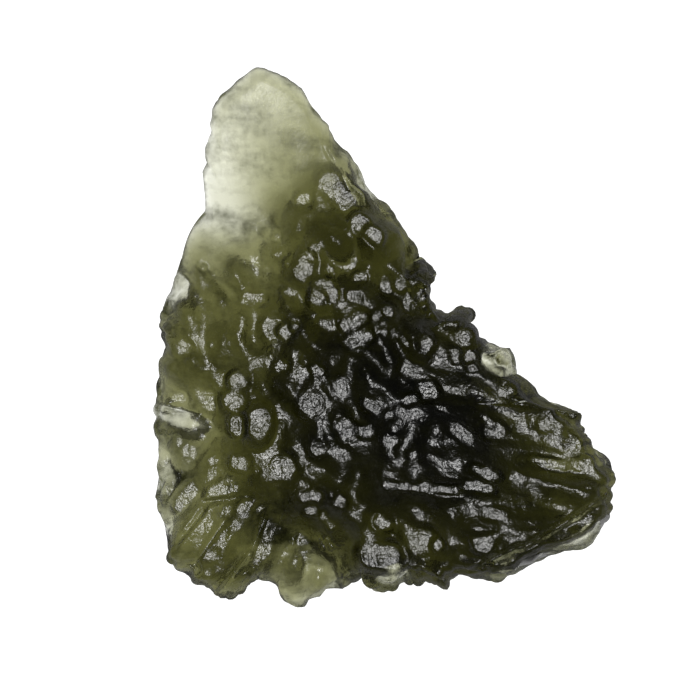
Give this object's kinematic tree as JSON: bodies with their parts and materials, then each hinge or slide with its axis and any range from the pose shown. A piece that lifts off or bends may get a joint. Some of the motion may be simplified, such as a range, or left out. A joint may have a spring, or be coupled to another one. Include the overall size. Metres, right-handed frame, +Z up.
{
  "type": "moldavite",
  "caption": "Raw moldavite, a flattish fragment of green natural glass with a thin smooth point, a thick wing and a skin etched in pits, ledges and furrows.",
  "frame": {"origin": "centre of the stone's outline seen from above, on the surface that it rests on", "axes": "+Z up through the crown; +Y along the length, towards the thin smooth point; +X across, towards the thick wing"},
  "size_m": [0.0298, 0.0351, 0.0087],
  "materials": {
    "green_glass": "glossy natural glass with an etched, finely rippled skin"
  },
  "bodies": {
    "root": {"stone": "green_glass"}
  },
  "joints": []
}
